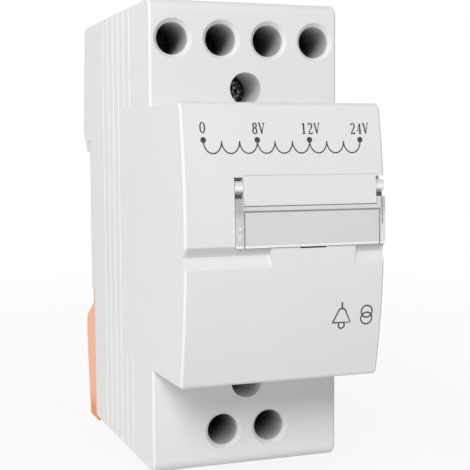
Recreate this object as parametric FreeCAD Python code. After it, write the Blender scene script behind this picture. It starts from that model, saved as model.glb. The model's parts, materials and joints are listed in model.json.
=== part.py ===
"""Two-module bell transformer for a 35 mm mounting rail.

Millimetres. The origin is the middle of the flat seat that rests on the rail:
+X to the right as seen from the front, +Y into the wall, +Z up.
The front of the transformer faces -Y.
"""
import FreeCAD, Part
import math
import os

V = FreeCAD.Vector

# Casing
body_width = 36.0
body_height = 85.0
shoulder_reach = 48.5        # rail seat to the shoulder face
nose_reach = 19.75           # shoulder face to the crown of the nose
nose_height = 47.5
nose_crown_z = 1.5           # height at which the curved nose front stands out most
nose_front_radius = 105.0
nose_under_rise = 0.35       # the nose's underside climbs this much towards its front
wall = 2.0
parting_depth = 35.3         # shoulder face to the joint between the two casing halves
shoulder_edge_radius = 2.0
side_edge = 0.35             # bevel of the long upright edges of both casing halves
nose_top_radius = 1.4
nose_bottom_radius = 0.8
joint_lip_height = 1.5
joint_lip_thickness = 1.2
casing_gap = 0.15            # between the joint lip and the front casing

# Shallow upright grooves in both side walls
groove_width = 0.5
groove_depth = 0.3
groove_pitch = 4.25
groove_first = 14.0          # shoulder face to the first groove
short_groove_count = 2       # these stop above and below the nose
long_groove_count = 3        # these run the full height

# Rail seat, fixed hook and back
rail_width = 35.0
rail_play = 0.1
flange_slot = 1.4
hook_overlap = 2.0
hook_slope_height = 5.3
hook_root_play = 0.3
hook_relief = 0.1            # the slot behind the hook is this much deeper than the seat
hump_reach = 6.4             # back of the hump at its lower end
hump_top_reach = 3.8
lower_back_step = 2.3        # the lower back lies this far in front of the seat
back_corner_radius = 1.0

# Terminals
terminal_side = 4.35         # side face to the axis of an outer terminal
terminal_inset = 6.92        # end face to the terminals' axes
upper_terminals = (-1.5, -0.5, 0.5, 1.5)
lower_terminals = (-0.5, 0.5)
access_bore_diameter = 5.75
access_rim_diameter = 7.1
access_rim_depth = 0.75
screw_head_depth = 13.2      # shoulder face to the terminal screw's head
screw_head_diameter = 5.0
screw_head_height = 2.0
screw_slot_width = 0.8
screw_slot_depth = 0.9
screw_thread_diameter = 3.4
screw_thread_length = 7.5
screw_tube_cover = 0.7       # the access bore reaches this far past the head
thread_play = 0.05           # radial
tip_gap = 0.05
bar_width = 4.0
bar_thickness = 1.0
bar_top_gap = 0.9
cage_width = 6.0
cage_length = 6.5
cage_wall = 0.8
cage_front_wall = 1.2
cage_corner_radius = 0.5
cage_bar_gap = 0.6
wire_space = 4.4
cage_floor_gap = 0.15
shelf_thickness = 1.1
room_wall = 1.1              # side walls are this thin beside the outer cages
rib_thickness = 1.2
shelf_setback = 2.8          # the shelf stops this far in front of the parting joint
wire_entry_width = 5.4
wire_entry_margin = 0.4
wire_entry_flare = 0.5

# Casing screws, in the two middle bores
case_screw_rise = 3.1        # end of the nose to the casing screw's axis
case_bore_diameter = 6.0
case_bore_depth = 7.8
case_bore_wall = 1.2
case_floor = 2.0
case_head_diameter = 5.4
case_head_height = 2.0
case_head_edge = 0.7
case_thread_diameter = 2.9
case_thread_length = 28.2
case_hole_play = 0.15
case_column_diameter = 5.6
pilot_play = 0.01
recess_arm = 2.6
recess_width = 0.8
recess_depth = 1.2

# Hinged label window in the nose
flap_left = -9.25
flap_bottom = -0.2
window_top = 6.55
window_bevel = 0.45
window_top_gap = 0.2
flap_thickness = 0.9
flap_stand = 0.35            # the flap stands this proud of the nose
flap_end_gap = 0.1
flap_swing_gap = 0.15
flap_arm_width = 1.4
flap_arm_depth = 2.0
flap_arm_top = 7.9
flap_neck_setback = 1.2      # above the arm only its rear part runs on to the hinge
flap_knuckle_radius = 1.0
flap_axis_z = 9.8
flap_axis_depth = 0.85       # behind the nose front
arm_slot_top = 11.4
panel_top = 11.6             # shallow line above the panel between the arms
panel_line_width = 0.15
panel_line_depth = 0.12
flap_pin_diameter = 1.1
flap_pin_length = 0.8
flap_pin_play = 0.05
label_top = 5.9
label_pocket_depth = 0.7
label_thickness = 0.4
label_edge_gap = 0.15
pad_depth = 4.6              # casing thickness behind the flap
pad_margin = 2.0
tab_left = -3.0              # raised middle of the lower nose front
tab_right = 12.4
finger_groove_top = 0.2
finger_groove_apex = -1.5
finger_groove_bottom = -3.6
finger_groove_depth = 1.0
nail_left = 2.2
nail_right = 7.0
nail_height = 0.35
nail_depth = 1.6

# Rail clip
clip_side_gap = 0.3
clip_slide_gap = 0.15
clip_back_reach = 7.0
clip_foot_reach = 4.3
clip_shoulder_drop = 3.8     # from the notch floor to the foot of the ramp
clip_ramp_radius = 2.5
clip_straight = 6.0
clip_foot_height = 0.75      # below the casing
clip_foot_wrap = 1.0         # in front of the lower back
clip_lip_inset = 0.6
clip_lip_gap = 1.3           # rail flange thickness with play
clip_lip_thickness = 1.3
clip_lip_overlap = 3.2
clip_tab_width = 10.0
clip_tab_height = 4.8
clip_tab_thickness = 4.4
clip_tab_slot_width = 5.5
clip_tab_slot_height = 2.4
clip_travel = 4.5
tongue_neck_width = 12.0
tongue_head_width = 18.0
tongue_head_thickness = 1.8
tongue_head_height = 17.0
tongue_top_gap = 0.2
pocket_wall = 1.4
spring_window_width = 5.2
spring_window_top = 2.4      # from the head's top to the window
spring_spare = 3.0           # left between the coils when the clip is pulled right down
spring_post_height = 1.9
spring_diameter = 3.8
spring_wire = 0.5
spring_turns = 5.0
wire_sides = 6               # flats round the spring wire and the leads

# Transformer: laminated core in a steel strap, and a two-chamber bobbin
strap_thickness = 1.0
strap_gap = 0.35             # between the strap and the inside of the nose
strap_width = 16.0
strap_tab = 3.0
core_back = -16.0
core_stack = 18.0
bobbin_wall = 1.0
bobbin_play = 0.1
bobbin_flange = 1.0
coil_side_gap = 0.6          # between the bobbin flanges and the side walls
coil_inset = 0.6             # windings lie this far inside the flange edge
coil_corner_radius = 2.0
tape_thickness = 0.3
post_width = 3.6
post_x = 5.5
post_z = 12.0
hold_rib_thickness = 1.5
hold_rib_height = 16.0
hold_rib_x = 5.0
seat_gap = 0.05
fuse_diameter = 3.6
fuse_length = 7.0
fuse_end_chamfer = 0.5
lead_diameter = 1.2
lead_spread = 2.5            # between the two leads on one side
lead_gap = 0.15              # between a lead and the edge of the shelf
lead_bend = 2.0
lead_step_start = 3.0        # the inner leads step sideways between these two depths
lead_step_end = 9.0          # below the shelf
lead_end_z = 12.0

# Cutting tools reach this far past a face
over = 1.0

# Places that follow from the sizes above
half_width = body_width / 2
half_height = body_height / 2
inner_half_width = half_width - wall
inner_half_height = half_height - wall
shoulder_y = -shoulder_reach
parting_y = shoulder_y + parting_depth
nose_half = nose_height / 2
terminal_pitch = (half_width - terminal_side) / 1.5
terminal_z = half_height - terminal_inset
case_screw_z = nose_half + case_screw_rise
crown_y = shoulder_y - nose_reach
arc_y = crown_y + nose_front_radius
arc_z = nose_crown_z
hook_tip_z = rail_width / 2 - hook_overlap
notch_z = -rail_width / 2 - rail_play
ledge_z = -rail_width / 2 + clip_lip_overlap
lower_back_y = -lower_back_step
head_y = shoulder_y + screw_head_depth
head_back_y = head_y + screw_head_height
bar_front_y = head_back_y + screw_thread_length + tip_gap
bar_back_y = bar_front_y + bar_thickness
cage_front_y = bar_front_y - cage_bar_gap - cage_front_wall
cage_back_y = bar_back_y + wire_space
shelf_z = terminal_z - cage_length / 2 - cage_floor_gap - bar_thickness
shelf_end_y = parting_y - joint_lip_height - shelf_setback
lead_y = shelf_end_y + lead_gap + lead_diameter / 2
bar_end_y = lead_y + lead_diameter
case_head_y = shoulder_y + case_bore_depth
case_seat_y = case_head_y + case_head_height
case_tube_radius = case_bore_diameter / 2 + case_bore_wall
case_tip_y = case_seat_y + case_thread_length
tongue_back_y = lower_back_y - wall - clip_slide_gap
tongue_front_y = tongue_back_y - tongue_head_thickness
pocket_front_y = tongue_front_y - clip_slide_gap
tongue_top_z = ledge_z - wall - tongue_top_gap
spring_top_z = tongue_top_z - spring_window_top
spring_length = clip_travel + spring_turns * spring_wire + spring_spare
spring_low_z = spring_top_z - spring_length
spring_y = (tongue_front_y + lower_back_y + clip_slide_gap) / 2
core_length = 2 * (nose_half - wall - strap_thickness - strap_gap)
core_leg = core_length / 6
core_front = core_back - core_length * 5 / 6
window_front = core_front + core_leg
window_back = core_back - core_leg
coil_half_x = inner_half_width - coil_side_gap
coil_half_z = 2 * core_leg - bobbin_play
chamber_front = window_front + bobbin_play + bobbin_flange
chamber_length = (window_back - bobbin_play - bobbin_flange - chamber_front - bobbin_flange) / 2


def box(x0, x1, y0, y1, z0, z1):
    """Block between two corners."""
    return Part.makeBox(x1 - x0, y1 - y0, z1 - z0, V(x0, y0, z0))


def rod_x(radius, x0, x1, y, z):
    """Round bar along X."""
    return Part.makeCylinder(radius, x1 - x0, V(x0, y, z), V(1, 0, 0))


def rod_y(radius, y0, y1, x, z):
    """Round bar along Y."""
    return Part.makeCylinder(radius, y1 - y0, V(x, y0, z), V(0, 1, 0))


def profile_x(points, x0, x1):
    """Side outline, as (y, z) points, drawn out along X."""
    corners = [V(x0, y, z) for y, z in points]
    face = Part.Face(Part.makePolygon(corners + corners[:1]))
    return face.extrude(V(x1 - x0, 0, 0))


def edges_at(shape, test):
    """Edges whose middle point passes a test."""
    found = []
    for edge in shape.Edges:
        middle = edge.valueAt((edge.FirstParameter + edge.LastParameter) / 2)
        if test(middle):
            found.append(edge)
    return found


def near(a, b):
    return abs(a - b) < 1e-3


def nose_y(z, inset=0.0):
    """Y of the curved nose front at height z, moved inwards by an inset."""
    radius = nose_front_radius - inset
    return arc_y - math.sqrt(radius ** 2 - (z - arc_z) ** 2)


def casing_prism(inset, back_y):
    """Shoulders and curved nose as one block, with all walls moved in by an inset."""
    x = half_width - inset
    end = half_height - inset
    top = nose_half - inset
    face_y = shoulder_y + inset
    front_y = crown_y - over
    tip = -nose_half + inset + nose_under_rise
    root = tip - nose_under_rise * (face_y - front_y) / (shoulder_y - front_y)
    outline = [(back_y, end), (face_y, end), (face_y, top), (front_y, top), (front_y, tip),
               (face_y, root), (face_y, -end), (back_y, -end)]
    drum = rod_x(nose_front_radius - inset, -x, x, arc_y, arc_z)
    return profile_x(outline, -x, x).common(drum)


def casing_outside():
    """Outside of the front casing with its moulded edges."""
    form = casing_prism(0, parting_y)
    ends = edges_at(form, lambda p: near(p.x, 0) and near(p.y, shoulder_y) and near(abs(p.z), half_height))
    form = form.makeFillet(shoulder_edge_radius, ends)
    nose_edges = edges_at(form, lambda p: near(p.x, 0) and p.y < shoulder_y - over)
    top = [edge for edge in nose_edges if edge.CenterOfMass.z > 0]
    low = [edge for edge in nose_edges if edge.CenterOfMass.z < 0]
    form = form.makeFillet(nose_top_radius, top)
    form = form.makeFillet(nose_bottom_radius, low)
    sides = edges_at(form, lambda p: near(abs(p.x), half_width) and p.y < parting_y - over)
    return form.makeChamfer(side_edge, sides)


def side_groove(y, z0, z1, side):
    """V-shaped cut along Z in one side wall."""
    x = side * half_width
    half = groove_width / 2
    corners = [V(x, y - half, z0), V(x - side * groove_depth, y, z0), V(x, y + half, z0)]
    face = Part.Face(Part.makePolygon(corners + corners[:1]))
    return face.extrude(V(0, 0, z1 - z0))


def side_grooves():
    """All grooves of the front casing."""
    cuts = []
    reach = half_height + over
    for side in (-1, 1):
        for index in range(short_groove_count + long_groove_count):
            y = shoulder_y + groove_first + index * groove_pitch
            if index < short_groove_count:
                cuts.append(side_groove(y, nose_half, reach, side))
                cuts.append(side_groove(y, -reach, -nose_half, side))
            else:
                cuts.append(side_groove(y, -reach, reach, side))
        cuts.append(side_groove(parting_y, -reach, reach, side))
    return cuts


def terminal_places():
    """Name, x and end (+1 top, -1 bottom) of each terminal, left to right."""
    places = []
    for index, step in enumerate(upper_terminals):
        places.append(("top_%d" % (index + 1), step * terminal_pitch, 1))
    for index, step in enumerate(lower_terminals):
        places.append(("bottom_%d" % (index + 1), step * terminal_pitch, -1))
    return places


def terminal_room(end, columns):
    """Block behind one shoulder for the screwdriver bores, then a shelf with partition ribs."""
    front = shoulder_y + wall / 2
    block_back = head_back_y + screw_tube_cover
    low, high = sorted((end * (shelf_z - shelf_thickness), end * (half_height - wall / 2)))
    side = min((columns[-1] + 0.5) * terminal_pitch + rib_thickness / 2, half_width - wall / 2)
    room = box(-side, side, front, block_back, low, high)
    for step in (-1, 0, 1):
        x = step * terminal_pitch
        room = room.fuse(box(x - rib_thickness / 2, x + rib_thickness / 2, front, shelf_end_y, low, high))
    low, high = sorted((end * (shelf_z - shelf_thickness), end * shelf_z))
    shelf = box(-half_width + wall / 2, half_width - wall / 2, front, shelf_end_y, low, high)
    return room.fuse(shelf)


def case_screw_column(end):
    """Tube for the casing screw: wide at the head, narrow down to the joint."""
    z = end * case_screw_z
    wide = rod_y(case_tube_radius, shoulder_y + wall / 2, case_seat_y + case_floor, 0, z)
    return wide.fuse(rod_y(case_column_diameter / 2, case_seat_y, parting_y, 0, z))


def access_cut(x, end):
    """Screwdriver bore with its flared rim."""
    z = end * terminal_z
    bore = rod_y(access_bore_diameter / 2, shoulder_y - over, head_back_y + screw_tube_cover + over, x, z)
    rim = Part.makeCone(access_rim_diameter / 2, access_bore_diameter / 2, access_rim_depth,
                        V(x, shoulder_y, z), V(0, 1, 0))
    return bore.fuse(rim)


def wire_entry_cut(x, end):
    """Flared square opening for the wire, straight over the clamping space."""
    half = wire_entry_width / 2
    y0 = bar_back_y
    y1 = cage_back_y + wire_entry_margin
    low, high = sorted((end * (inner_half_height - over), end * (half_height + over)))
    hole = box(x - half, x + half, y0, y1, low, high)
    flare = wire_entry_flare
    z = end * half_height
    inner = [V(x - half, y0, z - end * flare), V(x + half, y0, z - end * flare),
             V(x + half, y1, z - end * flare), V(x - half, y1, z - end * flare)]
    outer = [V(x - half - flare, y0 - flare, z), V(x + half + flare, y0 - flare, z),
             V(x + half + flare, y1 + flare, z), V(x - half - flare, y1 + flare, z)]
    funnel = Part.makeLoft([Part.makePolygon(inner + inner[:1]), Part.makePolygon(outer + outer[:1])], True)
    return hole.fuse(funnel)


def flap_axis():
    """Y and Z of the flap's hinge axis."""
    return nose_y(flap_axis_z) + flap_axis_depth, flap_axis_z


def flap_arms():
    """Left and right X of the left arm, then of the right arm."""
    right = half_width - flap_end_gap
    return (flap_left, flap_left + flap_arm_width), (right - flap_arm_width, right)


def nose_layer(outer_inset, inner_inset, x0, x1, z0, z1):
    """Curved slab that follows the nose front between two insets."""
    outer = rod_x(nose_front_radius - outer_inset, x0, x1, arc_y, arc_z)
    inner = rod_x(nose_front_radius - inner_inset, x0 - over, x1 + over, arc_y, arc_z)
    block = box(x0, x1, crown_y - over, crown_y + nose_reach, z0, z1)
    return block.common(outer).cut(inner)


def flap_cuts():
    """Recess for the window, slots and hinge bores for its arms, and the label pocket."""
    y, z = flap_axis()
    (left, left_inner), (right_inner, right) = flap_arms()
    panel_left = left_inner + flap_end_gap
    panel_right = right_inner - flap_end_gap
    low = flap_bottom - flap_end_gap
    floor = flap_thickness - flap_stand + flap_end_gap
    cuts = [nose_layer(-1, floor, left_inner, right_inner, low, window_top + window_top_gap)]
    cuts.append(nose_layer(-1, floor + label_pocket_depth, panel_left, panel_right, low, label_top))
    slot_floor = flap_arm_depth - flap_stand + 2 * flap_swing_gap
    cuts.append(nose_layer(-1, slot_floor, left - flap_end_gap, panel_left, low, arm_slot_top))
    cuts.append(nose_layer(-1, slot_floor, panel_right, half_width + over, low, arm_slot_top))
    hole = flap_pin_diameter / 2 + flap_pin_play
    cuts.append(rod_x(hole, left_inner, panel_left + flap_pin_length, y, z))
    cuts.append(rod_x(hole, panel_right - flap_pin_length, right_inner, y, z))
    cuts.append(nose_layer(-1, panel_line_depth, left_inner, right_inner, panel_top, panel_top + panel_line_width))
    return cuts


def finger_groove(x0, x1):
    """V-shaped groove across the nose under the flap."""
    top_y = nose_y(finger_groove_top)
    apex_y = nose_y(finger_groove_apex) + finger_groove_depth
    low_y = nose_y(finger_groove_bottom)
    outline = [(top_y, finger_groove_top), (apex_y, finger_groove_apex), (low_y, finger_groove_bottom),
               (low_y - over, finger_groove_bottom), (top_y - over, finger_groove_top)]
    return profile_x(outline, x0, x1)


def front_casing():
    """Moulded front shell with nose, shoulders, terminal rooms and screw tubes."""
    hollow = casing_prism(wall, parting_y + over)
    room_x = half_width - room_wall
    room = box(-room_x, room_x, head_back_y + screw_tube_cover, shelf_end_y, shelf_z, inner_half_height)
    shell = casing_outside().cut(hollow.fuse(room))
    pad_floor = flap_bottom - pad_margin
    pad = nose_layer(wall / 2, pad_depth, flap_left - pad_margin, half_width - wall / 2,
                     pad_floor, arm_slot_top + pad_margin)
    inside = [pad, terminal_room(1, upper_terminals), terminal_room(-1, lower_terminals),
              case_screw_column(1), case_screw_column(-1)]
    rib_back = core_front - strap_thickness - seat_gap
    for side in (-1, 1):
        x = side * hold_rib_x
        inside.append(box(x - hold_rib_thickness / 2, x + hold_rib_thickness / 2,
                          nose_y(hold_rib_height / 2, wall / 2), rib_back,
                          -hold_rib_height / 2, hold_rib_height / 2))
    shell = shell.multiFuse(inside)
    cuts = side_grooves() + flap_cuts()
    cuts.append(finger_groove(-half_width - over, tab_left))
    cuts.append(finger_groove(tab_right, half_width + over))
    cuts.append(nose_layer(-1, nail_depth, nail_left, nail_right, flap_bottom - nail_height, flap_bottom))
    for name, x, end in terminal_places():
        cuts.append(access_cut(x, end))
        cuts.append(wire_entry_cut(x, end))
    for end in (-1, 1):
        z = end * case_screw_z
        cuts.append(rod_y(case_bore_diameter / 2, shoulder_y - over, case_seat_y, 0, z))
        clearance = case_thread_diameter / 2 + case_hole_play
        cuts.append(rod_y(clearance, case_seat_y - over, parting_y + over, 0, z))
    return shell.cut(Part.makeCompound(cuts)).removeSplitter()


def back_outline(inset):
    """Side outline of the rear base as (y, z) points, walls moved in by an inset."""
    top = half_height - inset
    hook_root_z = hook_tip_z + hook_slope_height
    if inset == 0:
        slot_top = rail_width / 2 + hook_root_play
        return [(parting_y, top), (hump_top_reach, top), (hump_reach, hook_root_z),
                (flange_slot + clip_lip_thickness, hook_tip_z), (flange_slot, hook_tip_z),
                (flange_slot, slot_top), (-hook_relief, slot_top), (-hook_relief, hook_tip_z),
                (0, hook_tip_z), (0, ledge_z), (lower_back_y, ledge_z),
                (lower_back_y, -top), (parting_y, -top)]
    floor_z = hook_root_z + inset
    return [(parting_y - over, top), (hump_top_reach - inset, top), (hump_reach - inset, floor_z),
            (-inset, floor_z), (-inset, ledge_z + inset), (lower_back_y - inset, ledge_z + inset),
            (lower_back_y - inset, -top), (parting_y - over, -top)]


def clip_pocket():
    """Walls around the clip's tongue, inside the rear base."""
    half = tongue_head_width / 2 + clip_slide_gap + pocket_wall
    return box(-half, half, pocket_front_y - pocket_wall, lower_back_y - wall / 2,
               -half_height + wall / 2, ledge_z - wall / 2)


def clip_pocket_cuts():
    """T-shaped way for the tongue, open at the bottom."""
    head = tongue_head_width / 2 + clip_slide_gap
    neck = tongue_neck_width / 2 + clip_slide_gap
    top = tongue_top_z + tongue_top_gap
    low = -half_height - over
    return [box(-head, head, pocket_front_y, lower_back_y - wall, low, top),
            box(-neck, neck, pocket_front_y, lower_back_y + over, low, top)]


def spring_post():
    """Stop on the rear base that carries the lower end of the spring."""
    half = spring_window_width / 2 - clip_slide_gap
    return box(-half, half, pocket_front_y - pocket_wall / 2, lower_back_y,
               spring_low_z - spring_post_height, spring_low_z)


def rear_base():
    """Moulded rear half with the fixed rail hook, the rail seat and the clip's slide."""
    outside = profile_x(back_outline(0), -half_width, half_width)
    corner = edges_at(outside, lambda p: near(p.y, lower_back_y) and near(p.z, -half_height))
    corner += edges_at(outside, lambda p: near(p.y, hump_top_reach) and near(p.z, half_height))
    outside = outside.makeFillet(back_corner_radius, corner)
    sides = edges_at(outside, lambda p: near(abs(p.x), half_width) and near(abs(p.z), half_height))
    outside = outside.makeChamfer(side_edge, sides)
    base = outside.cut(profile_x(back_outline(wall), -inner_half_width, inner_half_width))
    lip_x = inner_half_width - casing_gap
    lip_z = inner_half_height - casing_gap
    lip = box(-lip_x, lip_x, parting_y - joint_lip_height, parting_y + joint_lip_height, -lip_z, lip_z)
    t = joint_lip_thickness
    opening = box(-lip_x + t, lip_x - t, parting_y - joint_lip_height - over,
                  parting_y + joint_lip_height + over, -lip_z + t, lip_z - t)
    foot = box(-inner_half_width - wall / 2, inner_half_width + wall / 2, parting_y,
               parting_y + joint_lip_height, -inner_half_height - wall / 2, inner_half_height + wall / 2)
    inside = [lip.cut(opening), foot.cut(opening), clip_pocket()]
    for end in (-1, 1):
        column_end = hump_reach if end > 0 else pocket_front_y
        column = rod_y(case_column_diameter / 2, parting_y, column_end, 0, end * case_screw_z)
        inside.append(column.common(outside))
        for side in (-1, 1):
            x, z = side * post_x, end * post_z
            inside.append(box(x - post_width / 2, x + post_width / 2, core_back, -wall / 2,
                              z - post_width / 2, z + post_width / 2))
    base = base.multiFuse(inside)
    cuts = clip_pocket_cuts()
    for side in (-1, 1):
        cuts.append(side_groove(parting_y, -half_height - over, half_height + over, side))
    for end in (-1, 1):
        cuts.append(rod_y(case_thread_diameter / 2 + pilot_play, parting_y - over, case_tip_y + tip_gap,
                          0, end * case_screw_z))
    base = base.cut(Part.makeCompound(cuts))
    return base.fuse(spring_post()).removeSplitter()


def rail_clip():
    """Sliding clip that grips the rail's lower edge, with a pull tab below."""
    x = half_width - clip_side_gap
    front = lower_back_y + clip_slide_gap
    ramp_z = notch_z - clip_shoulder_drop
    foot_top = -half_height - clip_slide_gap
    foot_low = -half_height - clip_foot_height
    outline = [(front, notch_z), (0, notch_z), (clip_back_reach, ramp_z),
               (clip_back_reach, ramp_z - clip_straight), (clip_foot_reach, foot_low),
               (front - clip_foot_wrap, foot_low), (front - clip_foot_wrap, foot_top), (front, foot_top)]
    clip = profile_x(outline, -x, x)
    ramp = edges_at(clip, lambda p: near(p.y, clip_back_reach) and near(p.z, ramp_z))
    clip = clip.makeFillet(clip_ramp_radius, ramp)
    lip_x = x - clip_lip_inset
    lip = box(-lip_x, lip_x, clip_lip_gap, clip_lip_gap + clip_lip_thickness, ramp_z, ledge_z)
    nib = edges_at(lip, lambda p: near(p.z, ledge_z) and near(p.y, clip_lip_gap + clip_lip_thickness))
    lip = lip.makeChamfer(clip_lip_thickness / 2, nib)
    notch = box(-x - over, x + over, -rail_play, clip_lip_gap, notch_z, ledge_z)
    clip = clip.cut(notch).fuse(lip)
    tab = box(-clip_tab_width / 2, clip_tab_width / 2, clip_foot_reach - clip_tab_thickness, clip_foot_reach,
              foot_low - clip_tab_height, foot_low + wall / 2)
    slot_top = foot_low - (clip_tab_height - clip_tab_slot_height) / 2
    tab = tab.cut(box(-clip_tab_slot_width / 2, clip_tab_slot_width / 2,
                      clip_foot_reach - clip_tab_thickness - over, clip_foot_reach + over,
                      slot_top - clip_tab_slot_height, slot_top))
    head = box(-tongue_head_width / 2, tongue_head_width / 2, tongue_front_y, tongue_back_y,
               tongue_top_z - tongue_head_height, tongue_top_z)
    neck = box(-tongue_neck_width / 2, tongue_neck_width / 2, tongue_front_y, front + wall / 2,
               tongue_top_z - tongue_head_height, min(tongue_top_z, notch_z))
    clip = clip.multiFuse([tab, head, neck])
    half = spring_window_width / 2
    window = box(-half, half, tongue_front_y - over, lower_back_y + clip_slide_gap,
                 spring_low_z - spring_post_height - tongue_top_gap, spring_top_z)
    return clip.cut(window).removeSplitter()


def wire_outline(centre, radius, across, up):
    """Many-sided outline of a wire round its centre line."""
    corners = []
    for index in range(wire_sides):
        angle = 2 * math.pi * index / wire_sides
        corners.append(centre + across * (radius * math.cos(angle)) + up * (radius * math.sin(angle)))
    return Part.makePolygon(corners + corners[:1])


def clip_spring():
    """Small coil spring between the base's stop and the clip."""
    wire = spring_wire / 2
    radius = spring_diameter / 2 - wire
    height = spring_length - 2 * wire - 2 * tip_gap
    path = Part.makeHelix(height / spring_turns, height, radius)
    outline = wire_outline(V(radius, 0, 0), wire, V(1, 0, 0), V(0, 0, 1))
    spring = Part.Wire(path.Edges).makePipeShell([outline], True, True)
    spring.translate(V(0, spring_y, spring_low_z + wire + tip_gap))
    return spring


def label_flap():
    """Clear window with a bevelled top edge, hung on two arms that end in hinge knuckles with pins."""
    y, z = flap_axis()
    (left, left_inner), (right_inner, right) = flap_arms()
    plate = nose_layer(-flap_stand, flap_thickness - flap_stand, left, right, flap_bottom, window_top)
    middle_x = (left + right) / 2
    top = edges_at(plate, lambda p: near(p.x, middle_x) and near(p.z, window_top) and p.y < nose_y(p.z))
    plate = plate.makeChamfer(window_bevel, top)
    back = flap_arm_depth - flap_stand
    arms = []
    for x0, x1 in flap_arms():
        arms.append(nose_layer(-flap_stand, back, x0, x1, flap_bottom, flap_arm_top))
        arms.append(nose_layer(flap_neck_setback - flap_stand, back, x0, x1, flap_arm_top - over, z))
        arms.append(rod_x(flap_knuckle_radius, x0, x1, y, z))
    pin = flap_pin_diameter / 2
    arms.append(rod_x(pin, left_inner - over / 2, left_inner + flap_pin_length, y, z))
    arms.append(rod_x(pin, right_inner - flap_pin_length, right_inner + over / 2, y, z))
    return plate.multiFuse(arms).removeSplitter()


def label_card():
    """Blank card behind the window."""
    floor = flap_thickness - flap_stand + flap_end_gap + label_pocket_depth
    (_, left_inner), (right_inner, _) = flap_arms()
    left = left_inner + flap_end_gap + label_edge_gap
    right = right_inner - flap_end_gap - label_edge_gap
    return nose_layer(floor - label_thickness, floor, left, right,
                      flap_bottom, label_top - label_edge_gap)


def case_screw(end):
    """Pan-head casing screw with a cross recess."""
    z = end * case_screw_z
    head = rod_y(case_head_diameter / 2, case_head_y, case_seat_y, 0, z)
    rim = edges_at(head, lambda p: near(p.y, case_head_y))
    head = head.makeChamfer(case_head_edge, rim)
    screw = head.fuse(rod_y(case_thread_diameter / 2, case_seat_y, case_tip_y, 0, z))
    arm = recess_arm / 2
    half = recess_width / 2
    low = case_head_y - over
    deep = case_head_y + recess_depth
    screw = screw.cut(box(-arm, arm, low, deep, z - half, z + half))
    return screw.cut(box(-half, half, low, deep, z - arm, z + arm))


def terminal_screw(x, end):
    """Slotted clamping screw."""
    z = end * terminal_z
    head = rod_y(screw_head_diameter / 2, head_y, head_back_y, x, z)
    screw = head.fuse(rod_y(screw_thread_diameter / 2, head_back_y, bar_front_y - tip_gap, x, z))
    reach = screw_head_diameter / 2 + over
    half = screw_slot_width / 2
    return screw.cut(box(x - reach, x + reach, head_y - over, head_y + screw_slot_depth, z - half, z + half))


def terminal_cage(x, end):
    """Lift cage: a square sleeve whose front wall is threaded for the screw."""
    half = cage_width / 2
    z = end * terminal_z
    cage = box(x - half, x + half, cage_front_y, cage_back_y + cage_wall,
               z - cage_length / 2, z + cage_length / 2)
    corners = edges_at(cage, lambda p: near(abs(p.x - x), half) and near(p.z, z))
    cage = cage.makeFillet(cage_corner_radius, corners)
    inner = half - cage_wall
    cage = cage.cut(box(x - inner, x + inner, cage_front_y + cage_front_wall, cage_back_y,
                        z - cage_length, z + cage_length))
    return cage.cut(rod_y(screw_thread_diameter / 2 + thread_play, cage_front_y - over,
                          cage_front_y + cage_front_wall + over, x, z))


def contact_bar(x, end):
    """Bent brass bar: upright in the cage, tail on the shelf for the lead."""
    half = bar_width / 2
    top = inner_half_height - bar_top_gap
    outline = [(bar_front_y, shelf_z), (bar_end_y, shelf_z), (bar_end_y, shelf_z + bar_thickness),
               (bar_back_y, shelf_z + bar_thickness), (bar_back_y, top), (bar_front_y, top)]
    points = [(y, end * z) for y, z in outline]
    return profile_x(points, x - half, x + half)


def core_e():
    """E-shaped half of the laminated core, yoke to the front."""
    half = core_length / 2
    leg = core_leg
    outline = [(core_front, -half), (window_back, -half), (window_back, -half + leg),
               (window_front, -half + leg), (window_front, -leg), (window_back, -leg),
               (window_back, leg), (window_front, leg), (window_front, half - leg),
               (window_back, half - leg), (window_back, half), (core_front, half)]
    return profile_x(outline, -core_stack / 2, core_stack / 2)


def core_i():
    """Straight half of the core that closes the legs."""
    return box(-core_stack / 2, core_stack / 2, window_back, core_back, -core_length / 2, core_length / 2)


def core_strap():
    """Steel strap round the core with its ends folded over at the back."""
    x = strap_width / 2
    t = strap_thickness
    half = core_length / 2
    strap = box(-x, x, core_front - t, core_back + t, -half - t, half + t)
    strap = strap.cut(box(-x - over, x + over, core_front, core_back, -half, half))
    gap = half - strap_tab
    return strap.cut(box(-x - over, x + over, core_back - over, core_back + t + over, -gap, gap))


def bobbin():
    """Moulded two-chamber bobbin on the middle leg."""
    hole_x = core_stack / 2 + bobbin_play
    hole_z = core_leg + bobbin_play
    front = window_front + bobbin_play
    back = window_back - bobbin_play
    tube_x = hole_x + bobbin_wall
    tube_z = hole_z + bobbin_wall
    tube = box(-tube_x, tube_x, front, back, -tube_z, tube_z)
    middle = (front + back - bobbin_flange) / 2
    for y in (front, middle, back - bobbin_flange):
        flange = box(-coil_half_x, coil_half_x, y, y + bobbin_flange, -coil_half_z, coil_half_z)
        tube = tube.fuse(flange)
    return tube.cut(box(-hole_x, hole_x, front - over, back + over, -hole_z, hole_z)).removeSplitter()


def winding_block(chamber, shrink):
    """Solid rounded block that fills a chamber, moved in by a shrink."""
    y = chamber_front + chamber * (chamber_length + bobbin_flange)
    x = coil_half_x - coil_inset - shrink
    z = coil_half_z - coil_inset - shrink
    block = box(-x, x, y, y + chamber_length, -z, z)
    corners = edges_at(block, lambda p: near(abs(p.x), x) and near(abs(p.z), z))
    return block.makeFillet(coil_corner_radius - shrink, corners)


def winding(chamber):
    """Copper winding under its tape."""
    inner_x = core_stack / 2 + bobbin_play + bobbin_wall
    inner_z = core_leg + bobbin_play + bobbin_wall
    hole = box(-inner_x, inner_x, window_front, window_back, -inner_z, inner_z)
    return winding_block(chamber, tape_thickness).cut(hole)


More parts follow.
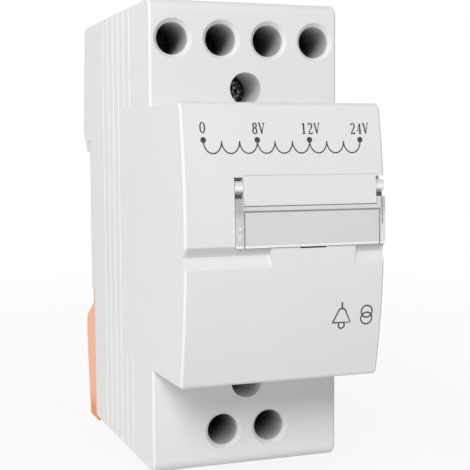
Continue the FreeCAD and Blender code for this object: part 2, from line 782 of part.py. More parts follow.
def winding_tape(chamber):
    """Insulating tape wrapped over a winding."""
    return winding_block(chamber, 0).cut(winding_block(chamber, tape_thickness))


def thermal_fuse():
    """Round fuse laid on the primary winding beside the core."""
    front = chamber_front + (chamber_length - fuse_length) / 2
    radius = fuse_diameter / 2
    x = core_stack / 2 + (coil_half_x - core_stack / 2) / 2
    z = -(coil_half_z - coil_inset) - radius - seat_gap
    fuse = rod_y(radius, front, front + fuse_length, x, z)
    rims = edges_at(fuse, lambda p: near(p.y, front) or near(p.y, front + fuse_length))
    return fuse.makeChamfer(fuse_end_chamfer, rims)


def lead_route(x, end):
    """Corner points of a lead from the bar's tail to the bobbin's rear flange."""
    y = lead_y
    side = 1 if x > 0 else -1
    outer = abs(x) > terminal_pitch
    run_x = side * (1.5 * terminal_pitch if outer else 1.5 * terminal_pitch - lead_spread)
    end_y = window_back - bobbin_play + seat_gap
    end_z = end * (lead_end_z if outer else lead_end_z - lead_spread)
    points = [V(x, y, end * (shelf_z - seat_gap))]
    if not outer:
        points.append(V(x, y, end * (shelf_z - lead_step_start)))
        points.append(V(run_x, y, end * (shelf_z - lead_step_end)))
    points.append(V(run_x, y, end_z))
    points.append(V(run_x, end_y, end_z))
    return points


def lead(x, end):
    """Insulated lead: straight runs joined by tangent arcs."""
    points = lead_route(x, end)
    edges = []
    start = points[0]
    for index in range(1, len(points) - 1):
        corner = points[index]
        before = (corner - points[index - 1]).normalize()
        after = (points[index + 1] - corner).normalize()
        turn = before.getAngle(after)
        reach = lead_bend * math.tan(turn / 2)
        enter = corner - before * reach
        leave = corner + after * reach
        bisector = (after - before).normalize()
        middle = corner + bisector * (lead_bend / math.cos(turn / 2) - lead_bend)
        edges.append(Part.LineSegment(start, enter).toShape())
        edges.append(Part.Arc(enter, middle, leave).toShape())
        start = leave
    edges.append(Part.LineSegment(start, points[-1]).toShape())
    outline = wire_outline(points[0], lead_diameter / 2, V(1, 0, 0), V(0, 1, 0))
    return Part.Wire(edges).makePipeShell([outline], True, False)


def all_parts():
    """Every sub-part by its node name."""
    parts = {
        "front_casing": front_casing(),
        "rear_base": rear_base(),
        "rail_clip": rail_clip(),
        "clip_spring": clip_spring(),
        "label_flap": label_flap(),
        "label_card": label_card(),
        "case_screw_top": case_screw(1),
        "case_screw_bottom": case_screw(-1),
        "core_e": core_e(),
        "core_i": core_i(),
        "core_strap": core_strap(),
        "bobbin": bobbin(),
        "primary_winding": winding(0),
        "secondary_winding": winding(1),
        "primary_tape": winding_tape(0),
        "secondary_tape": winding_tape(1),
        "thermal_fuse": thermal_fuse(),
    }
    for name, x, end in terminal_places():
        parts["terminal_screw_" + name] = terminal_screw(x, end)
        parts["terminal_cage_" + name] = terminal_cage(x, end)
        parts["contact_bar_" + name] = contact_bar(x, end)
        parts["lead_" + name] = lead(x, end)
    return parts


os.makedirs("parts", exist_ok=True)
for node, shape in all_parts().items():
    if shape.ShapeType == "Compound" and len(shape.Solids) == 1:
        shape = shape.Solids[0]
    print("%-26s solids %d valid %s volume %.1f" % (node, len(shape.Solids), shape.isValid(), shape.Volume))
    shape.exportStep("parts/%s.step" % node)
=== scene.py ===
"""Bell transformer for a mounting rail: its finishes, its print and the studio round it.

Metres. The origin is the middle of the seat that rests on the rail: +X to the right as seen
from the front, +Y into the wall, +Z up.
"""
import json
import math

import bpy
from mathutils import Matrix, Vector


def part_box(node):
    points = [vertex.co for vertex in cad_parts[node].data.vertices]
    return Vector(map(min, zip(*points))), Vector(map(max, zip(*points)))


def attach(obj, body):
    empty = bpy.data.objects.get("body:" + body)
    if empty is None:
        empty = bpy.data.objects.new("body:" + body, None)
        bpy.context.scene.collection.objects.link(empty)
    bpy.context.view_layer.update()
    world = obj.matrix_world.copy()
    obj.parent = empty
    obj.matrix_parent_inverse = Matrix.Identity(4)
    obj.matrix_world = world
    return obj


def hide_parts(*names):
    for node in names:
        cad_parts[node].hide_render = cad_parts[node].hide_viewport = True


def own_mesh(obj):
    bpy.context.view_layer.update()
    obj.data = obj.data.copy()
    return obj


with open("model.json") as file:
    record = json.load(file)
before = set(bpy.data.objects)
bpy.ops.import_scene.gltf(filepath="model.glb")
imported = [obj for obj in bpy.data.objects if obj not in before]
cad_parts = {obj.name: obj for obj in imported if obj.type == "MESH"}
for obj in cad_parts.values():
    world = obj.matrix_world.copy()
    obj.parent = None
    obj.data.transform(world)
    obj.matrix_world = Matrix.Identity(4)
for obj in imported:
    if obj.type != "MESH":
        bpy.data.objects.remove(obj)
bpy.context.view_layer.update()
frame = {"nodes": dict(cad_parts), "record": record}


# Core: a stack of thin iron sheets, pressed together and dipped in varnish. The sheets' edges
# show as fine lines along the stack.
class Form:
    """One socket of a node tree. Arithmetic on it adds Math nodes, and node() adds any other node."""

    def __init__(self, tree, socket=None):
        self.tree = tree
        self.socket = socket

    def node(self, kind, settings=None, sockets=None, out=0):
        """Adds a node: its settings first, then the values or links of its sockets."""
        made = self.tree.nodes.new(kind)
        for name, value in (settings or {}).items():
            if name == "stops":
                stops = made.color_ramp.elements
                while len(stops) < len(value):
                    stops.new(1)
                for stop, (place, colour) in zip(stops, value):
                    stop.position = place
                    stop.color = (*colour, 1)
            else:
                setattr(made, name, value)
        for name, value in (sockets or {}).items():
            for part in (value if isinstance(value, list) else [value]):
                if isinstance(part, Form):
                    self.tree.links.new(part.socket, made.inputs[name])
                else:
                    made.inputs[name].default_value = part
        return Form(self.tree, made.outputs[out] if made.outputs else None)

    def maths(self, operation, *others):
        """A Math node whose first value is this one."""
        return self.node("ShaderNodeMath", {"operation": operation}, dict(enumerate((self, *others))))

    def __add__(self, other):
        return self.maths("ADD", other)

    def __sub__(self, other):
        return self.maths("SUBTRACT", other)

    def __rsub__(self, other):
        return self.node("ShaderNodeMath", {"operation": "SUBTRACT"}, {0: other, 1: self})

    def __mul__(self, other):
        return self.maths("MULTIPLY", other)

    def __truediv__(self, other):
        return self.maths("DIVIDE", other)

    __radd__ = __add__
    __rmul__ = __mul__

    def blend(self, low, high):
        """Mix of two colours, with this value as the factor."""
        return self.node("ShaderNodeMix", {"data_type": "RGBA"}, {0: self, 6: low, 7: high}, out=2)

    def spread(self, low, high):
        """Goes from low to high as this value goes from 0 to 1."""
        return low + self * (high - low)


def material_start(name):
    """A new material, and the Object coordinates that its pattern reads."""
    material = bpy.data.materials.new(name)
    material.use_nodes = True
    material.node_tree.nodes.clear()
    return material, Form(material.node_tree).node("ShaderNodeTexCoord", out="Object")


def material_end(place, sockets):
    """Closes a material with a Principled shader."""
    shader = place.node("ShaderNodeBsdfPrincipled", None, sockets)
    place.node("ShaderNodeOutputMaterial", None, {"Surface": shader})


def along(place, axis):
    """One coordinate of a place."""
    return place.node("ShaderNodeSeparateXYZ", None, {"Vector": place}, out=axis)


def stripes(value, pitch):
    """Goes from 0 to 1 and back in every pitch."""
    return (value / pitch).maths("PINGPONG", 0.5) * 2


def specks(place, size, detail=2.0):
    """Cloudy value from 0 to 1 whose spots are about one size across."""
    return place.node("ShaderNodeTexNoise", None, {"Vector": place, "Scale": 1 / size, "Detail": detail})


def relief(place, height, depth, strength=1.0):
    """Surface normal from a height that goes from 0 to 1 over a depth."""
    return place.node("ShaderNodeBump", None, {"Height": height, "Distance": depth, "Strength": strength})


def dress(material, names):
    """Gives CAD nodes their material."""
    for name in names:
        for slot in frame["nodes"][name].material_slots:
            slot.material = material


sheet_thickness = 0.0005
core_colour = (0.12, 0.12, 0.125, 1)
varnish_colour = (0.055, 0.045, 0.035, 1)
sheet_share = 0.5
varnish_share = 0.6

core_finish, place = material_start("varnished iron sheets")
sheets = stripes(along(place, "X"), sheet_thickness)
blotches = specks(place, size=0.004)
material_end(place, {
    "Base Color": (sheets * sheet_share + blotches * varnish_share).blend(varnish_colour, core_colour),
    "Metallic": 0.8,
    "Roughness": blotches.spread(0.35, 0.60),
    "Normal": relief(place, sheets, depth=0.00006),
})
dress(core_finish, ["core_e", "core_i"])


# Core strap: folded from zinc plated steel strip, and bent over the core to clamp its sheets.
# Fine scratches run along it, from the rolls that the strip passed through.
strap_colour = (0.46, 0.46, 0.45, 1)
strap_dull = (0.33, 0.33, 0.33, 1)


def stretched(place, scale):
    """Places for a pattern that is drawn out along each axis whose scale is below 1."""
    return place.node("ShaderNodeMapping", None, {"Vector": place, "Scale": scale})


strap_finish, place = material_start("zinc plated strap")
cloud = specks(place, size=0.003, detail=3.0)
scratches = specks(stretched(place, (0.1, 1, 1)), size=0.0003)
material_end(place, {
    "Base Color": cloud.blend(strap_dull, strap_colour),
    "Metallic": 0.9,
    "Roughness": scratches.spread(0.32, 0.52),
    "Normal": relief(place, scratches, depth=0.00001, strength=0.4),
})
dress(strap_finish, ["core_strap"])


# Bobbin: moulded in one piece of pale glass-filled plastic, with a chamber for each winding. It
# sits round the middle leg of the core, and the glass shows as fine flecks.
bobbin_colour = (0.70, 0.68, 0.60, 1)
bobbin_shade = (0.60, 0.58, 0.50, 1)

bobbin_finish, place = material_start("glass filled bobbin plastic")
flecks = specks(place, size=0.0006, detail=4.0)
material_end(place, {
    "Base Color": flecks.blend(bobbin_shade, bobbin_colour),
    "Roughness": flecks.spread(0.45, 0.65),
    "Normal": relief(place, flecks, depth=0.00004, strength=0.4),
})
dress(bobbin_finish, ["bobbin"])


# Windings: many turns of enamelled copper wire, laid side by side in the bobbin's chambers. Each
# turn shows as a fine ridge under the clear enamel, and painted shade darkens the grooves between
# turns.
turn_pitch = 0.00035
copper_light = (0.62, 0.25, 0.10, 1)
copper_groove_shade = (0.24, 0.07, 0.03, 1)

winding_finish, place = material_start("enamelled copper turns")
turns = stripes(along(place, "Y"), turn_pitch)
material_end(place, {
    "Base Color": turns.blend(copper_groove_shade, copper_light),
    "Metallic": 0.85,
    "Roughness": 0.3,
    "Coat Weight": 0.6,
    "Normal": relief(place, turns, depth=0.0001),
})
dress(winding_finish, ["primary_winding", "secondary_winding"])


# Winding tapes: yellow insulating tape, wrapped round each winding when its last turn is laid.
# Its weave shows as a fine, uneven grain.
tape_colour = (0.76, 0.50, 0.05, 1)
tape_shade = (0.62, 0.38, 0.03, 1)

tape_finish, place = material_start("insulating tape")
weave = specks(place, size=0.0009, detail=3.0)
material_end(place, {
    "Base Color": weave.blend(tape_shade, tape_colour),
    "Roughness": weave.spread(0.25, 0.40),
    "Normal": relief(place, weave, depth=0.00004, strength=0.5),
})
dress(tape_finish, ["primary_tape", "secondary_tape"])


# Thermal fuse: a small round ceramic body, glazed and laid on the primary winding. It breaks the
# supply if the winding gets too hot.
fuse_colour = (0.62, 0.58, 0.46, 1)
fuse_shade = (0.50, 0.46, 0.36, 1)

fuse_finish, place = material_start("fuse ceramic")
glaze = specks(place, size=0.001)
material_end(place, {
    "Base Color": glaze.blend(fuse_shade, fuse_colour),
    "Roughness": glaze.spread(0.25, 0.40),
    "Coat Weight": 0.3,
    "Normal": relief(place, glaze, depth=0.00003, strength=0.3),
})
dress(fuse_finish, ["thermal_fuse"])


# Contact bars: bent from rolled brass strip and pressed into the casing, one for each terminal.
# The rolls leave a fine grain along the strip, and the air a little tarnish.
terminals = ["top_1", "top_2", "top_3", "top_4", "bottom_1", "bottom_2"]
brass_bright = (0.70, 0.50, 0.20, 1)
brass_dull = (0.50, 0.34, 0.13, 1)

brass_finish, place = material_start("rolled brass")
grain = specks(stretched(place, (1, 0.1, 0.1)), size=0.0002)
tarnish = specks(place, size=0.002, detail=3.0)
material_end(place, {
    "Base Color": tarnish.blend(brass_dull, brass_bright),
    "Metallic": 1.0,
    "Roughness": grain.spread(0.25, 0.45),
    "Normal": relief(place, grain, depth=0.00001, strength=0.5),
})
dress(brass_finish, ["contact_bar_" + name for name in terminals])


# Lift cages: square sleeves folded from steel strip and zinc plated. Each hangs on its terminal
# screw, which draws it up to clamp the wire against the contact bar.
cage_bright = (0.58, 0.56, 0.50, 1)
cage_dull = (0.42, 0.41, 0.37, 1)

cage_finish, place = material_start("plated cage steel")
cloud = specks(place, size=0.0015, detail=3.0)
material_end(place, {
    "Base Color": cloud.blend(cage_dull, cage_bright),
    "Metallic": 0.95,
    "Roughness": cloud.spread(0.3, 0.5),
    "Normal": relief(place, cloud, depth=0.00002, strength=0.4),
})
dress(cage_finish, ["terminal_cage_" + name for name in terminals])


# Terminal screws: slotted, turned from steel and zinc plated. A screwdriver reaches them through
# the round bores, and the shade down there is painted into their dark colours.
shaded_screw_light = (0.06, 0.06, 0.058, 1)
shaded_screw_dark = (0.025, 0.025, 0.025, 1)

screw_finish, place = material_start("zinc plated screw in painted shade")
lathe = specks(stretched(place, (1, 0.2, 1)), size=0.0004, detail=3.0)
material_end(place, {
    "Base Color": lathe.blend(shaded_screw_dark, shaded_screw_light),
    "Metallic": 0.95,
    "Roughness": lathe.spread(0.26, 0.46),
    "Normal": relief(place, lathe, depth=0.00001, strength=0.5),
})
dress(screw_finish, ["terminal_screw_" + name for name in terminals])


# Leads: stranded wire in soft insulation, from the bars to the windings. White carries the bell
# voltages and black the supply.
white_insulation = (0.74, 0.73, 0.69, 1), (0.66, 0.65, 0.61, 1)
black_insulation = (0.012, 0.012, 0.013, 1), (0.02, 0.02, 0.021, 1)

for label, (colour, shade), names in (
        ("white lead insulation", white_insulation, terminals[:4]),
        ("black lead insulation", black_insulation, terminals[4:])):
    lead_finish, place = material_start(label)
    bloom = specks(place, size=0.0012)
    material_end(place, {
        "Base Color": bloom.blend(shade, colour),
        "Roughness": bloom.spread(0.4, 0.6),
        "Normal": relief(place, bloom, depth=0.00003, strength=0.3),
    })
    dress(lead_finish, ["lead_" + name for name in names])


# Casing: front shell and rear base, moulded in pale grey plastic with a fine, dull grain. Shade
# is painted deep into the bores and into the groove under the label window, and light on the
# edge above the window.
casing_colour = (0.80, 0.80, 0.795, 1)
casing_shade = (0.77, 0.77, 0.765, 1)
grain_size = 0.00035
grain_depth = 0.000025

bore_shade = (0.045, 0.045, 0.047, 1)
bore_pitch = 0.0091
bore_z = 0.03558
case_bore_z = 0.02685
bore_reach = 0.0034
bore_end_y = -0.0345
shoulder_y = -0.0485
bore_dark_start = 0.0006
bore_dark_depth = 0.0140
bore_dark_bend = 0.6
case_bore_light = 0.68

nose_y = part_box("front_casing")[0].y
groove_shade = (0.64, 0.64, 0.635, 1)
groove_width = -0.0175, 0.0176
groove_depth = 0.0001, 0.00115
groove_low, groove_fade = -0.0021, 0.0012
groove_top = 0.0003
gap_light = (0.97, 0.97, 0.96, 1)
gap_width = -0.00785, 0.0165
gap_height = 0.0061, 0.00676
gap_depth = 0.0012


def between(value, low, high):
    """1 where a value lies between two limits, and 0 elsewhere."""
    return value.maths("GREATER_THAN", low) * value.maths("LESS_THAN", high)


def ramp(value, start, reach):
    """0 up to a start, then up to 1 over a reach."""
    return ((value - start) / reach).maths("MAXIMUM", 0.0).maths("MINIMUM", 1.0)


casing_finish, place = material_start("pale grey casing plastic")
grain = specks(place, grain_size, detail=3.0)
cloud = specks(place, size=0.012)
x, y, z = [along(place, axis) for axis in "XYZ"]
height = z.maths("ABSOLUTE")
off_column = (x / bore_pitch + 0.5).maths("PINGPONG", 0.5) * bore_pitch
off_row = height - bore_z
off_screw = height - case_bore_z
at_terminal = (off_column * off_column + off_row * off_row).maths("LESS_THAN", bore_reach ** 2)
at_screw = (x * x + off_screw * off_screw).maths("LESS_THAN", bore_reach ** 2)
in_bore = at_terminal.maths("MAXIMUM", at_screw) * y.maths("LESS_THAN", bore_end_y)
bore_depth = ramp(y, shoulder_y + bore_dark_start, bore_dark_depth)
bore_dark = in_bore * bore_depth.maths("POWER", bore_dark_bend) * (1 - at_screw * case_bore_light)
nose_depth = y - nose_y
in_groove = between(x, *groove_width) * between(nose_depth, *groove_depth)
in_groove = in_groove * z.maths("LESS_THAN", groove_top) * ramp(z, groove_low, groove_fade)
in_gap = between(x, *gap_width) * between(z, *gap_height) * nose_depth.maths("LESS_THAN", gap_depth)
colour = cloud.blend(casing_shade, casing_colour)
for mask, shade in ((in_groove, groove_shade), (in_gap, gap_light), (bore_dark, bore_shade)):
    colour = mask.blend(colour, shade)
material_end(place, {
    "Base Color": colour,
    "Roughness": grain.spread(0.62, 0.74),
    "Normal": relief(place, grain, grain_depth, strength=0.5),
})
dress(casing_finish, ["front_casing", "rear_base"])


# Casing screws: cross-recess screws, driven in from the front to hold the two halves of the
# casing together. Their dark finish is worn bright in spots.
worn_bright = (0.75, 0.75, 0.74, 1)
dark_plate = (0.05, 0.05, 0.052, 1)
wear_start, wear_end = 0.52, 0.68

case_screw_finish, place = material_start("dark plated casing screw")
wear = specks(place, size=0.0005, detail=4.0)
worn = wear.node("ShaderNodeValToRGB", {
    "stops": [(wear_start, (0, 0, 0)), (wear_end, (1, 1, 1))]}, {"Fac": wear})
material_end(place, {
    "Base Color": worn.blend(dark_plate, worn_bright),
    "Metallic": 0.95,
    "Roughness": wear.spread(0.30, 0.45),
    "Normal": relief(place, wear, depth=0.00002, strength=0.6),
})
dress(case_screw_finish, ["case_screw_top", "case_screw_bottom"])


# Rail clip: moulded in orange plastic that is a little soft, so that its nose snaps over the
# rail. It slides in the rear base, and its colour gets deeper towards its foot.
clip_colour = (0.97, 0.50, 0.33, 1)
clip_deep = (0.86, 0.28, 0.07, 1)
clip_fade_z = -0.0408
clip_fade_height = 0.0035
clip_fade_waver = 0.4 * clip_fade_height

clip_finish, place = material_start("orange clip plastic")
cloud = specks(place, size=0.006)
grain = specks(place, grain_size, detail=3.0)
faded = ramp(along(place, "Z") + cloud * clip_fade_waver, clip_fade_z, clip_fade_height)
material_end(place, {
    "Base Color": faded.blend(clip_deep, clip_colour),
    "Roughness": grain.spread(0.40, 0.52),
    "Normal": relief(place, grain, grain_depth, strength=0.4),
})
dress(clip_finish, ["rail_clip"])


# Clip spring: a coil of drawn steel wire that stands in the rear base and pushes the clip up. It
# shortens as the clip is pulled down, and a coil stands for the solid.
spring_bright = (0.50, 0.50, 0.50, 1)
spring_dull = (0.32, 0.32, 0.33, 1)
spring_low, spring_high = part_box("clip_spring")
spring_middle = (spring_low + spring_high) / 2
spring_length = spring_high.z - spring_low.z
spring_wire = 0.0005
spring_turns = 5.0
clip_travel = [joint["range_m"][1] for joint in frame["record"]["behaviour"]["joints"]
               if joint["name"] == "clip_slide"][0]

spring_finish, place = material_start("drawn spring wire")
oil = specks(place, size=0.0008)
material_end(place, {
    "Base Color": oil.blend(spring_dull, spring_bright),
    "Metallic": 1.0,
    "Roughness": oil.spread(0.25, 0.40),
    "Normal": relief(place, oil, depth=0.00001, strength=0.3),
})


def new_tree(name, inputs):
    """A Geometry Nodes tree with named inputs: a form for the tree, and one for each input."""
    tree = bpy.data.node_groups.new(name, "GeometryNodeTree")
    tree.interface.new_socket(name="Geometry", in_out="OUTPUT", socket_type="NodeSocketGeometry")
    for label, kind in inputs.items():
        tree.interface.new_socket(name=label, in_out="INPUT", socket_type="NodeSocket" + kind)
    form = Form(tree)
    return form, {label: form.node("NodeGroupInput", out=label) for label in inputs}


def realised(geometry):
    """Instances made real."""
    return geometry.node("GeometryNodeRealizeInstances", None, {"Geometry": geometry})


def grown(name, geometry, finish, values):
    """Ends a tree with a geometry in its finish, and makes it a plain mesh object."""
    finished = geometry.node("GeometryNodeSetMaterial", None, {
        "Geometry": realised(geometry), "Material": finish})
    finished.node("NodeGroupOutput", None, {"Geometry": finished})
    made = bpy.data.objects.new(name, bpy.data.meshes.new(name))
    bpy.context.scene.collection.objects.link(made)
    modifier = made.modifiers.new(name, "NODES")
    modifier.node_group = geometry.tree
    for item in geometry.tree.interface.items_tree:
        if item.name in values:
            modifier[item.identifier] = values[item.name]
    bpy.context.view_layer.update()
    mesh = bpy.data.meshes.new_from_object(made.evaluated_get(bpy.context.evaluated_depsgraph_get()))
    made.modifiers.clear()
    made.data = mesh
    return made


coil, given = new_tree("clip coil", {
    "Turns": "Float", "Radius": "Float", "Height": "Float", "Wire": "Float", "Foot": "Vector"})
helix = coil.node("GeometryNodeCurveSpiral", None, {
    "Resolution": 24, "Rotations": given["Turns"], "Start Radius": given["Radius"],
    "End Radius": given["Radius"], "Height": given["Height"]}, out="Curve")
wire_outline = coil.node("GeometryNodeCurvePrimitiveCircle", None, {
    "Resolution": 10, "Radius": given["Wire"] / 2})
wound = coil.node("GeometryNodeCurveToMesh", None, {
    "Curve": helix, "Profile Curve": wire_outline, "Fill Caps": True})
wound = coil.node("GeometryNodeTransform", None, {"Geometry": wound, "Translation": given["Foot"]})
clip_coil = grown("clip_coil", wound, spring_finish, {
    "Turns": spring_turns,
    "Radius": (spring_high.x - spring_low.x - spring_wire) / 2,
    "Height": spring_length - spring_wire,
    "Wire": spring_wire,
    "Foot": (spring_middle.x, spring_middle.y, spring_low.z + spring_wire / 2),
})
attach(clip_coil, "casing")
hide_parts("clip_spring")
1 - clip_travel / spring_length
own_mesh(clip_coil)


# Label card: plain pale card, cut to the pocket behind the window, where the window holds it.
# Its fibres give it a dull face.
card_colour = (0.84, 0.84, 0.835, 1)
card_shade = (0.80, 0.80, 0.795, 1)

card_finish, place = material_start("plain label card")
fibres = specks(place, size=0.0003, detail=5.0)
material_end(place, {
    "Base Color": fibres.blend(card_shade, card_colour),
    "Roughness": 0.8,
    "Normal": relief(place, fibres, depth=0.00002, strength=0.5),
})
dress(card_finish, ["label_card"])


# Label window: clear plastic with a slight smoky tint, hinged on two pins at its top. Painted
# shade lines run along its top and both arms, and painted shade darkens its necks, which lie deep
# in the slots of the casing. The light and shade on its arms, foot and knuckles are painted too.
window_colour = (0.91, 0.91, 0.91, 1)
window_shade = (0.88, 0.88, 0.88, 1)
window_clearness = 0.32
clear_tint = (0.99, 0.99, 0.99, 1)

shade_line_colour = (0.26, 0.26, 0.265, 1)
shade_line_low, shade_line_high = 0.00562, 0.00592
left_shade_line = -0.00795, -0.00772
right_shade_line = 0.01668, 0.01692
neck_shade_colour = (0.07, 0.07, 0.07, 1)
neck_low, neck_high = 0.00792, 0.00865
knuckle_colour = (0.70, 0.70, 0.70, 1)
glint_colour = (0.98, 0.98, 0.98, 1)
glint_z, glint_reach = 0.00955, 0.0006
glint_core, glint_fade = 0.4, 0.6

arm_shade = (0.64, 0.64, 0.64, 1)
arm_light = (0.93, 0.93, 0.93, 1)
arm_fade_z, arm_fade_height = 0.0044, 0.0014
left_streak = -0.0089, -0.00835
right_streak = 0.01718, 0.0174
streak_top = 0.0032
bead_start, bead_fade = 0.44, 0.2
foot_top = 0.00016

window_finish, place = material_start("smoky clear window")
ripple = specks(place, size=0.004)
beads = specks(place, size=0.0014)
x, z = [along(place, axis) for axis in "XZ"]
# Painted shade lines along the window's top and both arms and down the right arm's edge, painted shade on the
# necks, a painted glint on the knuckles, and painted light and shade on the arms and foot.
across_top = between(z, shade_line_low, shade_line_high) * between(x, left_shade_line[0], right_shade_line[1])
down_arms = (between(x, *left_shade_line) + between(x, *right_shade_line)) * z.maths("LESS_THAN", shade_line_high)
step = across_top.maths("MAXIMUM", down_arms)
neck = between(z, neck_low, neck_high)
knuckle = z.maths("GREATER_THAN", neck_high)
off_glint = ((z - glint_z) / glint_reach).maths("ABSOLUTE")
glint = knuckle * (1 - ramp(off_glint, glint_core, glint_fade))
arms = x.maths("LESS_THAN", left_shade_line[0]) + x.maths("GREATER_THAN", right_shade_line[1])
arm_top = arms * ramp(z, arm_fade_z, arm_fade_height)
streaks = between(x, *left_streak) + between(x, *right_streak)
lit = streaks * z.maths("LESS_THAN", streak_top) * ramp(beads, bead_start, bead_fade)
edge = between(x, *right_streak) * z.maths("GREATER_THAN", streak_top)
foot = z.maths("LESS_THAN", foot_top)
solid = z.maths("GREATER_THAN", neck_low)
for mask in (step, foot, lit, edge):
    solid = solid.maths("MAXIMUM", mask)
colour = ripple.blend(window_shade, window_colour)
for mask, shade in (
        (arm_top, arm_shade), (lit, arm_light), (foot, arm_light), (edge, shade_line_colour),
        (step, shade_line_colour), (neck, neck_shade_colour), (knuckle, knuckle_colour), (glint, glint_colour)):
    colour = mask.blend(colour, shade)
clear = place.node("ShaderNodeBsdfTransparent", None, {"Color": clear_tint})
body = place.node("ShaderNodeBsdfPrincipled", None, {
    "Base Color": colour,
    "Roughness": 0.12,
    "Normal": relief(place, ripple, depth=0.00002, strength=0.2),
})
glass = place.node("ShaderNodeMixShader", None, {0: (1 - solid) * window_clearness, 1: body, 2: clear})
place.node("ShaderNodeOutputMaterial", None, {"Surface": glass})
dress(window_finish, ["label_flap"])


# Voltage print: dark grey ink, pad printed on the nose front. A row of arcs stands for the
# secondary coil, with a dot and a figure at each of its four taps, and two small pictures sit
# lower down.
ink_colour = (0.030, 0.030, 0.032, 1)
ink_thin_colour = (0.045, 0.045, 0.047, 1)
ink_lift = 0.00002
ink_flatness = 0.08
nose_radius = 0.105
nose_centre_y = nose_y + nose_radius
nose_centre_z = 0.0015

ink_finish, place = material_start("dark grey ink")
wear = specks(place, size=0.0002, detail=3.0)
material_end(place, {
    "Base Color": wear.blend(ink_thin_colour, ink_colour),
    "Roughness": wear.spread(0.5, 0.7),
})

row, given = new_tree("coil row", {
    "Arcs": "Int", "Arc width": "Float", "Arc drop": "Float", "Line width": "Float", "Taps": "Int",
    "Arcs to a tap": "Int", "Dot width": "Float", "Dot rise": "Float", "Left": "Float", "Top": "Float"})


def point(x, y, z):
    """Vector from three numbers or sockets of the coil row."""
    return row.node("ShaderNodeCombineXYZ", None, {"X": x, "Y": y, "Z": z})


bowl = row.node("GeometryNodeCurveArc", None, {
    "Resolution": 17, "Radius": 1.0, "Start Angle": math.pi, "Sweep Angle": math.pi}, out="Curve")
bowl = row.node("GeometryNodeTransform", None, {
    "Geometry": bowl, "Rotation": (math.pi / 2, 0, 0),
    "Scale": point(given["Arc width"] / 2, given["Arc drop"], 1)})
places = row.node("GeometryNodeMeshLine", None, {
    "Count": given["Arcs"], "Start Location": point(given["Left"] + given["Arc width"] / 2, 0, given["Top"]),
    "Offset": point(given["Arc width"], 0, 0)})
bowls = row.node("GeometryNodeInstanceOnPoints", None, {"Points": places, "Instance": bowl})
pen = row.node("GeometryNodeCurvePrimitiveCircle", None, {
    "Resolution": 6, "Radius": given["Line width"] / 2})
lines = row.node("GeometryNodeCurveToMesh", None, {
    "Curve": realised(bowls), "Profile Curve": pen, "Fill Caps": True})
taps = row.node("GeometryNodeMeshLine", None, {
    "Count": given["Taps"], "Start Location": point(given["Left"], 0, given["Top"] + given["Dot rise"]),
    "Offset": point(given["Arc width"] * given["Arcs to a tap"], 0, 0)})
dot = row.node("GeometryNodeMeshIcoSphere", None, {"Radius": given["Dot width"] / 2, "Subdivisions": 3})
dots = row.node("GeometryNodeInstanceOnPoints", None, {"Points": taps, "Instance": dot})
joined = row.node("GeometryNodeJoinGeometry", None, {"Geometry": [lines, realised(dots)]})
x, y, z = [along(row.node("GeometryNodeInputPosition"), axis) for axis in "XYZ"]
rise = z - nose_centre_z
surface = nose_centre_y - (nose_radius ** 2 - rise * rise).maths("SQRT")
laid = row.node("GeometryNodeSetPosition", None, {
    "Geometry": joined, "Position": point(x, surface - ink_lift + y * ink_flatness, z)})
dot_width = 0.00098
voltage_row = grown("voltage_row", laid, ink_finish, {
    "Arcs": 9, "Arc width": 0.003119, "Arc drop": 0.0020, "Line width": 0.00024, "Taps": 4,
    "Arcs to a tap": 3, "Dot width": dot_width, "Dot rise": 0.2 * dot_width, "Left": -0.01433,
    "Top": 0.0173})
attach(voltage_row, "casing")

figure_height = 0.00190
figure_step = 0.62
figure_gap = 0.06
figures_middle_z = 0.0195
figure_drop = 0.0001
thick = 0.155
thin = 0.085


def sweep(x, z, reach_x, reach_z, start, end):
    """Points of an ellipse arc as (x, z, line width), thicker where the pen runs upright."""
    points = []
    steps = 20
    for step in range(steps + 1):
        angle = math.radians(start + (end - start) * step / steps)
        width = thin + (thick - thin) * abs(math.cos(angle))
        points.append((x + reach_x * math.cos(angle), z + reach_z * math.sin(angle), width))
    return points


# Strokes of each figure, in shares of its height.
figures = {
    "0": [sweep(0.25, 0.5, 0.20, 0.45, 0, 360)],
    "8": [sweep(0.25, 0.745, 0.15, 0.21, 0, 360), sweep(0.25, 0.28, 0.18, 0.24, 0, 360)],
    "1": [[(0.10, 0.86, thin), (0.25, 0.95, thick)], [(0.25, 0.95, thick), (0.25, 0.05, thick)],
          [(0.10, 0.04, thin), (0.40, 0.04, thin)]],
    "2": [sweep(0.24, 0.74, 0.17, 0.21, 170, -35) + [(0.07, 0.06, thin)],
          [(0.07, 0.06, thick), (0.42, 0.06, thick), (0.44, 0.20, thin)]],
    "4": [[(0.30, 0.94, thin), (0.05, 0.30, thin), (0.46, 0.30, thin)],
          [(0.32, 0.94, thick), (0.32, 0.05, thick)], [(0.20, 0.04, thin), (0.44, 0.04, thin)]],
    "V": [[(0.06, 0.95, thick), (0.27, 0.04, thick)], [(0.27, 0.04, thin), (0.48, 0.95, thin)],
          [(-0.03, 0.96, thin), (0.15, 0.96, thin)], [(0.39, 0.96, thin), (0.57, 0.96, thin)]],
}


